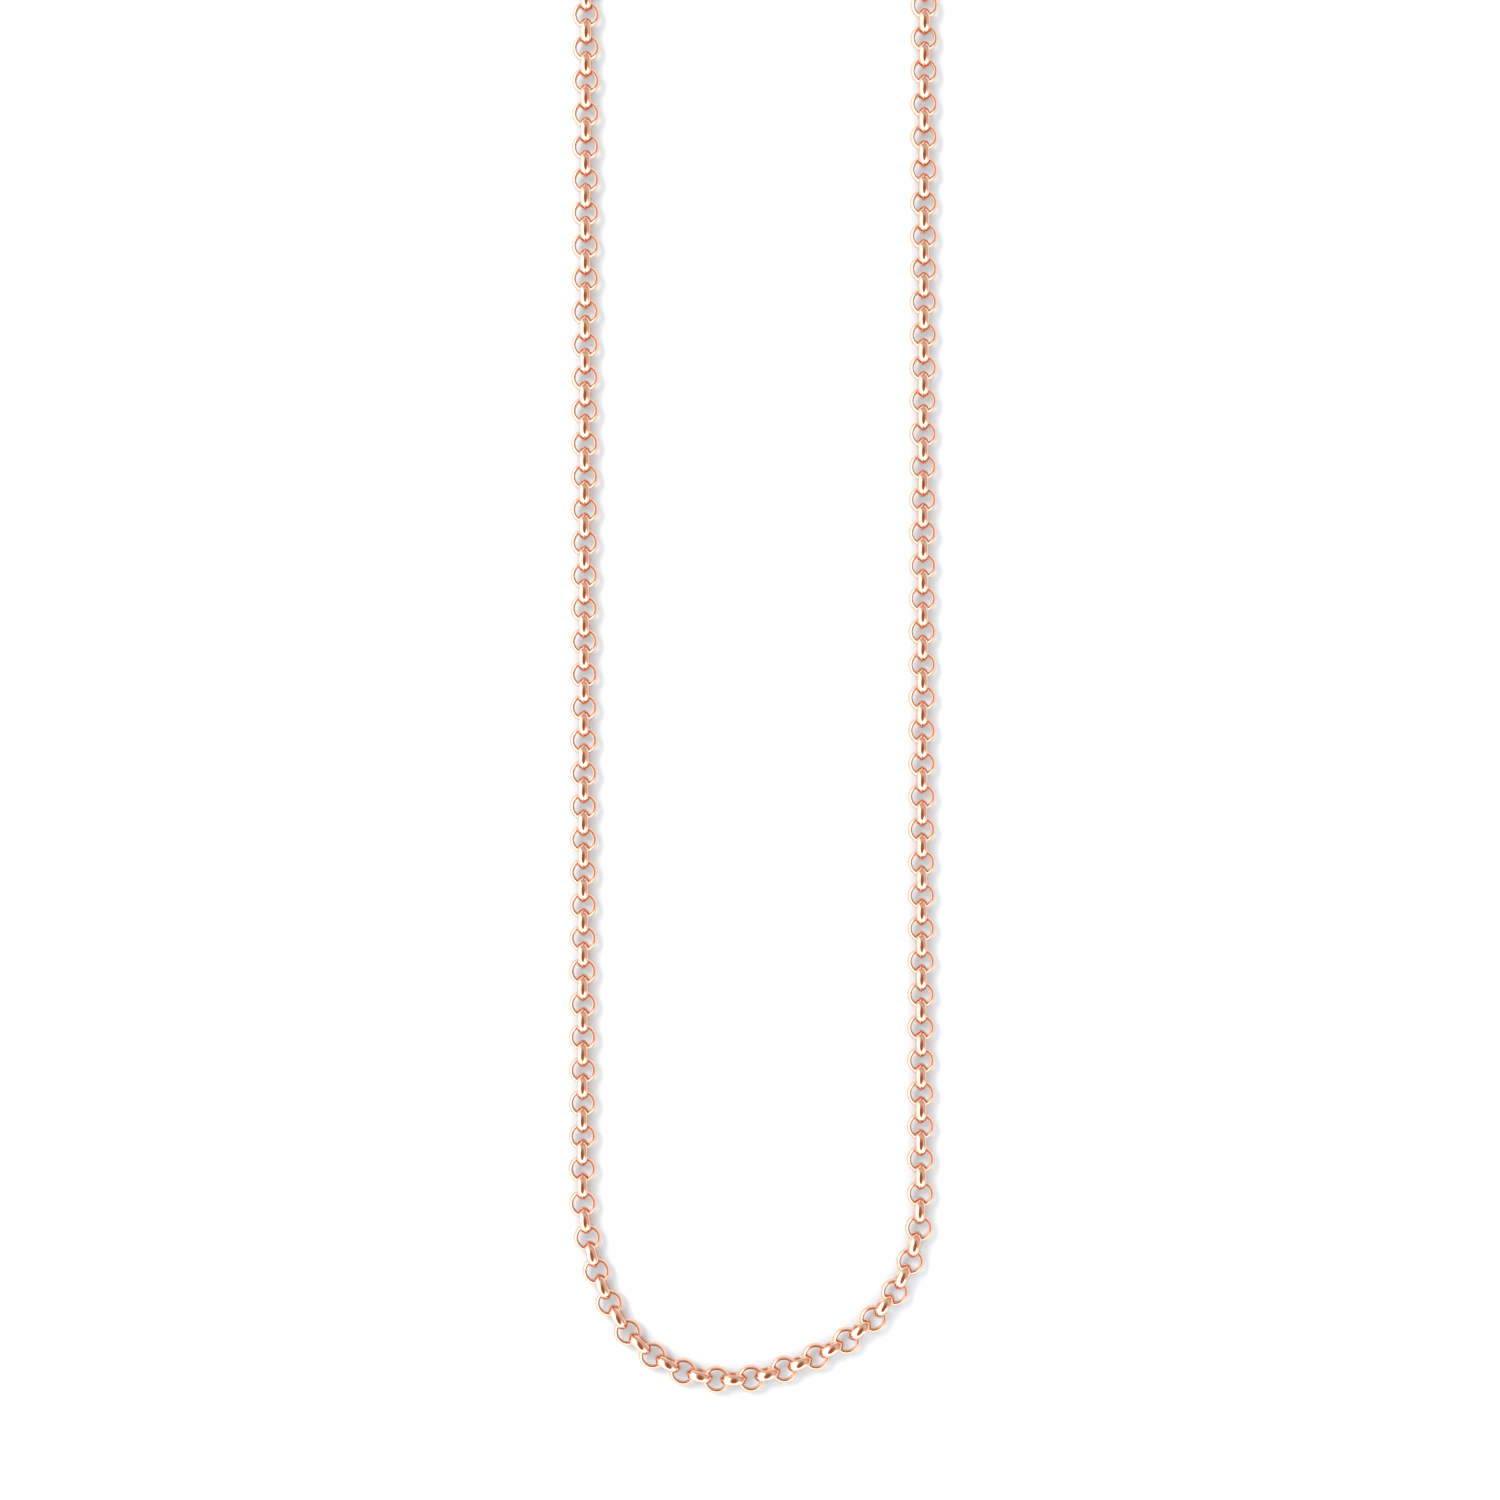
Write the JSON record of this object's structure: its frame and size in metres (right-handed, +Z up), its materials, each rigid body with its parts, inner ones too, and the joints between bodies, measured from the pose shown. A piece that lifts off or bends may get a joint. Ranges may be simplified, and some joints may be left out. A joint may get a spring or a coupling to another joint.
{
  "type": "chain necklace",
  "caption": "Rose gold round-link belcher chain necklace with a sprung bolt ring clasp, laid flat and open in a rounded U; the links pivot on each other.",
  "frame": {"origin": "on the surface that the necklace lies on, under the middle of its box", "axes": "+Y runs up the two arms from the rounded bottom to the clasp, +Z is up out of the surface, +X points from the clasp's arm to the end ring's arm"},
  "size_m": [0.0386, 0.2074, 0.0027],
  "materials": {
    "chain_link": "polished rose gold plate",
    "clasp_metal": "polished rose gold plate",
    "spring_steel": "bright drawn wire"
  },
  "bodies": {
    "bottom_chain": {"bottom_chain": "chain_link"},
    "left_chain_01": {"left_chain_01": "chain_link"},
    "left_chain_02": {"left_chain_02": "chain_link"},
    "left_chain_03": {"left_chain_03": "chain_link"},
    "left_chain_04": {"left_chain_04": "chain_link"},
    "left_chain_05": {"left_chain_05": "chain_link"},
    "left_chain_06": {"left_chain_06": "chain_link"},
    "left_chain_07": {"left_chain_07": "chain_link"},
    "left_chain_08": {"left_chain_08": "chain_link"},
    "left_chain_09": {"left_chain_09": "chain_link"},
    "left_chain_10": {"left_chain_10": "chain_link"},
    "left_chain_11": {"left_chain_11": "chain_link"},
    "left_chain_12": {"left_chain_12": "chain_link"},
    "left_chain_13": {"left_chain_13": "chain_link"},
    "left_chain_14": {"left_chain_14": "chain_link"},
    "left_chain_15": {"left_chain_15": "chain_link"},
    "left_chain_16": {"left_chain_16": "chain_link"},
    "left_chain_17": {"left_chain_17": "chain_link"},
    "left_chain_18": {"left_chain_18": "chain_link"},
    "left_chain_19": {"left_chain_19": "chain_link"},
    "left_chain_20": {"left_chain_20": "chain_link"},
    "left_chain_21": {"left_chain_21": "chain_link"},
    "left_chain_22": {"left_chain_22": "chain_link"},
    "left_chain_23": {"left_chain_23": "chain_link"},
    "left_chain_24": {"left_chain_24": "chain_link"},
    "left_chain_25": {"left_chain_25": "chain_link"},
    "right_chain_01": {"right_chain_01": "chain_link"},
    "right_chain_02": {"right_chain_02": "chain_link"},
    "right_chain_03": {"right_chain_03": "chain_link"},
    "right_chain_04": {"right_chain_04": "chain_link"},
    "right_chain_05": {"right_chain_05": "chain_link"},
    "right_chain_06": {"right_chain_06": "chain_link"},
    "right_chain_07": {"right_chain_07": "chain_link"},
    "right_chain_08": {"right_chain_08": "chain_link"},
    "right_chain_09": {"right_chain_09": "chain_link"},
    "right_chain_10": {"right_chain_10": "chain_link"},
    "right_chain_11": {"right_chain_11": "chain_link"},
    "right_chain_12": {"right_chain_12": "chain_link"},
    "right_chain_13": {"right_chain_13": "chain_link"},
    "right_chain_14": {"right_chain_14": "chain_link"},
    "right_chain_15": {"right_chain_15": "chain_link"},
    "right_chain_16": {"right_chain_16": "chain_link"},
    "right_chain_17": {"right_chain_17": "chain_link"},
    "right_chain_18": {"right_chain_18": "chain_link"},
    "right_chain_19": {"right_chain_19": "chain_link"},
    "right_chain_20": {"right_chain_20": "chain_link"},
    "right_chain_21": {"right_chain_21": "chain_link"},
    "right_chain_22": {"right_chain_22": "chain_link"},
    "right_chain_23": {"right_chain_23": "chain_link"},
    "right_chain_24": {"right_chain_24": "chain_link"},
    "right_chain_25": {"right_chain_25": "chain_link"},
    "clasp_jump_ring": {"clasp_jump_ring": "clasp_metal"},
    "bolt_ring": {"bolt_ring_body": "clasp_metal", "spring_stop": "clasp_metal", "bolt_spring": "spring_steel"},
    "sliding_bolt": {"sliding_bolt": "clasp_metal", "thumb_knob": "clasp_metal"},
    "end_ring": {"end_ring": "clasp_metal"}
  },
  "joints": [
    {"name": "bolt_travel", "type": "hinge", "parent": "bolt_ring", "child": "sliding_bolt", "pos_m": [-0.01581, 0.09967, 0.00135], "axis": [0, 0, 1], "range_deg": [0, 45], "stiffness_Nm_per_rad": 0.0024, "springref_deg": -32.09},
    {"name": "clasp_swivel", "type": "hinge", "parent": "clasp_jump_ring", "child": "bolt_ring", "pos_m": [-0.01581, 0.09324, 0.00135], "axis": [0, 0, 1], "range_deg": [-60, 60]},
    {"name": "jump_ring_hinge", "type": "hinge", "parent": "left_chain_25", "child": "clasp_jump_ring", "pos_m": [-0.01581, 0.09124, 0.00135], "axis": [1, 0, 0], "range_deg": [-60, 60]},
    {"name": "end_ring_hinge", "type": "hinge", "parent": "right_chain_25", "child": "end_ring", "pos_m": [0.01681, 0.0923, 0.00135], "axis": [1, 0, 0], "range_deg": [-60, 60]},
    {"name": "left_chain_01_hinge", "type": "hinge", "parent": "bottom_chain", "child": "left_chain_01", "pos_m": [-0.00281, -0.10233, 0.00135], "axis": [0, 0, 1], "range_deg": [-5, 60]},
    {"name": "left_chain_02_hinge", "type": "hinge", "parent": "left_chain_01", "child": "left_chain_02", "pos_m": [-0.01019, -0.09889, 0.00135], "axis": [0.6796, 0.7336, 0], "range_deg": [-60, 60]},
    {"name": "left_chain_03_hinge", "type": "hinge", "parent": "left_chain_02", "child": "left_chain_03", "pos_m": [-0.01443, -0.09188, 0.00135], "axis": [0, 0, -1], "range_deg": [-60, 6]},
    {"name": "left_chain_04_hinge", "type": "hinge", "parent": "left_chain_03", "child": "left_chain_04", "pos_m": [-0.01578, -0.08373, 0.00135], "axis": [0.9999, 0.0161, 0], "range_deg": [-60, 60]},
    {"name": "left_chain_05_hinge", "type": "hinge", "parent": "left_chain_04", "child": "left_chain_05", "pos_m": [-0.01581, -0.07571, 0.00135], "axis": [0, 0, 1], "range_deg": [-6, 60]},
    {"name": "left_chain_06_hinge", "type": "hinge", "parent": "left_chain_05", "child": "left_chain_06", "pos_m": [-0.01581, -0.06776, 0.00135], "axis": [-1, 0, 0], "range_deg": [-60, 60]},
    {"name": "left_chain_07_hinge", "type": "hinge", "parent": "left_chain_06", "child": "left_chain_07", "pos_m": [-0.01581, -0.05981, 0.00135], "axis": [0, 0, -1], "range_deg": [-60, 7]},
    {"name": "left_chain_08_hinge", "type": "hinge", "parent": "left_chain_07", "child": "left_chain_08", "pos_m": [-0.01581, -0.05186, 0.00135], "axis": [-1, 0, 0], "range_deg": [-60, 60]},
    {"name": "left_chain_09_hinge", "type": "hinge", "parent": "left_chain_08", "child": "left_chain_09", "pos_m": [-0.01581, -0.04391, 0.00135], "axis": [0, 0, 1], "range_deg": [-8, 60]},
    {"name": "left_chain_10_hinge", "type": "hinge", "parent": "left_chain_09", "child": "left_chain_10", "pos_m": [-0.01581, -0.03596, 0.00135], "axis": [1, 0, 0], "range_deg": [-60, 60]},
    {"name": "left_chain_11_hinge", "type": "hinge", "parent": "left_chain_10", "child": "left_chain_11", "pos_m": [-0.01581, -0.02801, 0.00135], "axis": [0, 0, -1], "range_deg": [-60, 9]},
    {"name": "left_chain_12_hinge", "type": "hinge", "parent": "left_chain_11", "child": "left_chain_12", "pos_m": [-0.01581, -0.02006, 0.00135], "axis": [1, 0, 0], "range_deg": [-60, 60]},
    {"name": "left_chain_13_hinge", "type": "hinge", "parent": "left_chain_12", "child": "left_chain_13", "pos_m": [-0.01581, -0.01211, 0.00135], "axis": [0, 0, 1], "range_deg": [-10, 60]},
    {"name": "left_chain_14_hinge", "type": "hinge", "parent": "left_chain_13", "child": "left_chain_14", "pos_m": [-0.01581, -0.00416, 0.00135], "axis": [-1, 0, 0], "range_deg": [-60, 60]},
    {"name": "left_chain_15_hinge", "type": "hinge", "parent": "left_chain_14", "child": "left_chain_15", "pos_m": [-0.01581, 0.00379, 0.00135], "axis": [0, 0, -1], "range_deg": [-60, 12]},
    {"name": "left_chain_16_hinge", "type": "hinge", "parent": "left_chain_15", "child": "left_chain_16", "pos_m": [-0.01581, 0.01174, 0.00135], "axis": [-1, 0, 0], "range_deg": [-60, 60]},
    {"name": "left_chain_17_hinge", "type": "hinge", "parent": "left_chain_16", "child": "left_chain_17", "pos_m": [-0.01581, 0.01969, 0.00135], "axis": [0, 0, 1], "range_deg": [-14, 60]},
    {"name": "left_chain_18_hinge", "type": "hinge", "parent": "left_chain_17", "child": "left_chain_18", "pos_m": [-0.01581, 0.02764, 0.00135], "axis": [1, 0, 0], "range_deg": [-60, 60]},
    {"name": "left_chain_19_hinge", "type": "hinge", "parent": "left_chain_18", "child": "left_chain_19", "pos_m": [-0.01581, 0.03559, 0.00135], "axis": [0, 0, -1], "range_deg": [-60, 18]},
    {"name": "left_chain_20_hinge", "type": "hinge", "parent": "left_chain_19", "child": "left_chain_20", "pos_m": [-0.01581, 0.04354, 0.00135], "axis": [1, 0, 0], "range_deg": [-60, 60]},
    {"name": "left_chain_21_hinge", "type": "hinge", "parent": "left_chain_20", "child": "left_chain_21", "pos_m": [-0.01581, 0.05149, 0.00135], "axis": [0, 0, 1], "range_deg": [-24, 60]},
    {"name": "left_chain_22_hinge", "type": "hinge", "parent": "left_chain_21", "child": "left_chain_22", "pos_m": [-0.01581, 0.05944, 0.00135], "axis": [-1, 0, 0], "range_deg": [-60, 60]},
    {"name": "left_chain_23_hinge", "type": "hinge", "parent": "left_chain_22", "child": "left_chain_23", "pos_m": [-0.01581, 0.06739, 0.00135], "axis": [0, 0, -1], "range_deg": [-60, 36]},
    {"name": "left_chain_24_hinge", "type": "hinge", "parent": "left_chain_23", "child": "left_chain_24", "pos_m": [-0.01581, 0.07534, 0.00135], "axis": [-1, 0, 0], "range_deg": [-60, 60]},
    {"name": "left_chain_25_hinge", "type": "hinge", "parent": "left_chain_24", "child": "left_chain_25", "pos_m": [-0.01581, 0.08329, 0.00135], "axis": [0, 0, 1], "range_deg": [-60, 60]},
    {"name": "right_chain_01_hinge", "type": "hinge", "parent": "bottom_chain", "child": "right_chain_01", "pos_m": [0.0037, -0.10132, 0.00135], "axis": [0, 0, -1], "range_deg": [-6, 60]},
    {"name": "right_chain_02_hinge", "type": "hinge", "parent": "right_chain_01", "child": "right_chain_02", "pos_m": [0.011, -0.09749, 0.00135], "axis": [-0.6349, 0.7726, 0], "range_deg": [-60, 60]},
    {"name": "right_chain_03_hinge", "type": "hinge", "parent": "right_chain_02", "child": "right_chain_03", "pos_m": [0.01584, -0.09087, 0.00135], "axis": [0, 0, 1], "range_deg": [-60, 6]},
    {"name": "right_chain_04_hinge", "type": "hinge", "parent": "right_chain_03", "child": "right_chain_04", "pos_m": [0.01681, -0.08267, 0.00135], "axis": [-1, 0, 0], "range_deg": [-60, 60]},
    {"name": "right_chain_05_hinge", "type": "hinge", "parent": "right_chain_04", "child": "right_chain_05", "pos_m": [0.01681, -0.07465, 0.00135], "axis": [0, 0, -1], "range_deg": [-7, 60]},
    {"name": "right_chain_06_hinge", "type": "hinge", "parent": "right_chain_05", "child": "right_chain_06", "pos_m": [0.01681, -0.06671, 0.00135], "axis": [1, 0, 0], "range_deg": [-60, 60]},
    {"name": "right_chain_07_hinge", "type": "hinge", "parent": "right_chain_06", "child": "right_chain_07", "pos_m": [0.01681, -0.05876, 0.00135], "axis": [0, 0, 1], "range_deg": [-60, 7]},
    {"name": "right_chain_08_hinge", "type": "hinge", "parent": "right_chain_07", "child": "right_chain_08", "pos_m": [0.01681, -0.05081, 0.00135], "axis": [1, 0, 0], "range_deg": [-60, 60]},
    {"name": "right_chain_09_hinge", "type": "hinge", "parent": "right_chain_08", "child": "right_chain_09", "pos_m": [0.01681, -0.04285, 0.00135], "axis": [0, 0, -1], "range_deg": [-8, 60]},
    {"name": "right_chain_10_hinge", "type": "hinge", "parent": "right_chain_09", "child": "right_chain_10", "pos_m": [0.01681, -0.0349, 0.00135], "axis": [-1, 0, 0], "range_deg": [-60, 60]},
    {"name": "right_chain_11_hinge", "type": "hinge", "parent": "right_chain_10", "child": "right_chain_11", "pos_m": [0.01681, -0.02695, 0.00135], "axis": [0, 0, 1], "range_deg": [-60, 9]},
    {"name": "right_chain_12_hinge", "type": "hinge", "parent": "right_chain_11", "child": "right_chain_12", "pos_m": [0.01681, -0.01901, 0.00135], "axis": [-1, 0, 0], "range_deg": [-60, 60]},
    {"name": "right_chain_13_hinge", "type": "hinge", "parent": "right_chain_12", "child": "right_chain_13", "pos_m": [0.01681, -0.01106, 0.00135], "axis": [0, 0, -1], "range_deg": [-11, 60]},
    {"name": "right_chain_14_hinge", "type": "hinge", "parent": "right_chain_13", "child": "right_chain_14", "pos_m": [0.01681, -0.00311, 0.00135], "axis": [1, 0, 0], "range_deg": [-60, 60]},
    {"name": "right_chain_15_hinge", "type": "hinge", "parent": "right_chain_14", "child": "right_chain_15", "pos_m": [0.01681, 0.00485, 0.00135], "axis": [0, 0, 1], "range_deg": [-60, 13]},
    {"name": "right_chain_16_hinge", "type": "hinge", "parent": "right_chain_15", "child": "right_chain_16", "pos_m": [0.01681, 0.0128, 0.00135], "axis": [1, 0, 0], "range_deg": [-60, 60]},
    {"name": "right_chain_17_hinge", "type": "hinge", "parent": "right_chain_16", "child": "right_chain_17", "pos_m": [0.01681, 0.02074, 0.00135], "axis": [0, 0, -1], "range_deg": [-16, 60]},
    {"name": "right_chain_18_hinge", "type": "hinge", "parent": "right_chain_17", "child": "right_chain_18", "pos_m": [0.01681, 0.02869, 0.00135], "axis": [-1, 0, 0], "range_deg": [-60, 60]},
    {"name": "right_chain_19_hinge", "type": "hinge", "parent": "right_chain_18", "child": "right_chain_19", "pos_m": [0.01681, 0.03664, 0.00135], "axis": [0, 0, 1], "range_deg": [-60, 20]},
    {"name": "right_chain_20_hinge", "type": "hinge", "parent": "right_chain_19", "child": "right_chain_20", "pos_m": [0.01681, 0.0446, 0.00135], "axis": [-1, 0, 0], "range_deg": [-60, 60]},
    {"name": "right_chain_21_hinge", "type": "hinge", "parent": "right_chain_20", "child": "right_chain_21", "pos_m": [0.01681, 0.05255, 0.00135], "axis": [0, 0, -1], "range_deg": [-27, 60]},
    {"name": "right_chain_22_hinge", "type": "hinge", "parent": "right_chain_21", "child": "right_chain_22", "pos_m": [0.01681, 0.0605, 0.00135], "axis": [1, 0, 0], "range_deg": [-60, 60]},
    {"name": "right_chain_23_hinge", "type": "hinge", "parent": "right_chain_22", "child": "right_chain_23", "pos_m": [0.01681, 0.06845, 0.00135], "axis": [0, 0, 1], "range_deg": [-60, 45]},
    {"name": "right_chain_24_hinge", "type": "hinge", "parent": "right_chain_23", "child": "right_chain_24", "pos_m": [0.01681, 0.0764, 0.00135], "axis": [1, 0, 0], "range_deg": [-60, 60]},
    {"name": "right_chain_25_hinge", "type": "hinge", "parent": "right_chain_24", "child": "right_chain_25", "pos_m": [0.01681, 0.08435, 0.00135], "axis": [0, 0, -1], "range_deg": [-60, 60]}
  ]
}
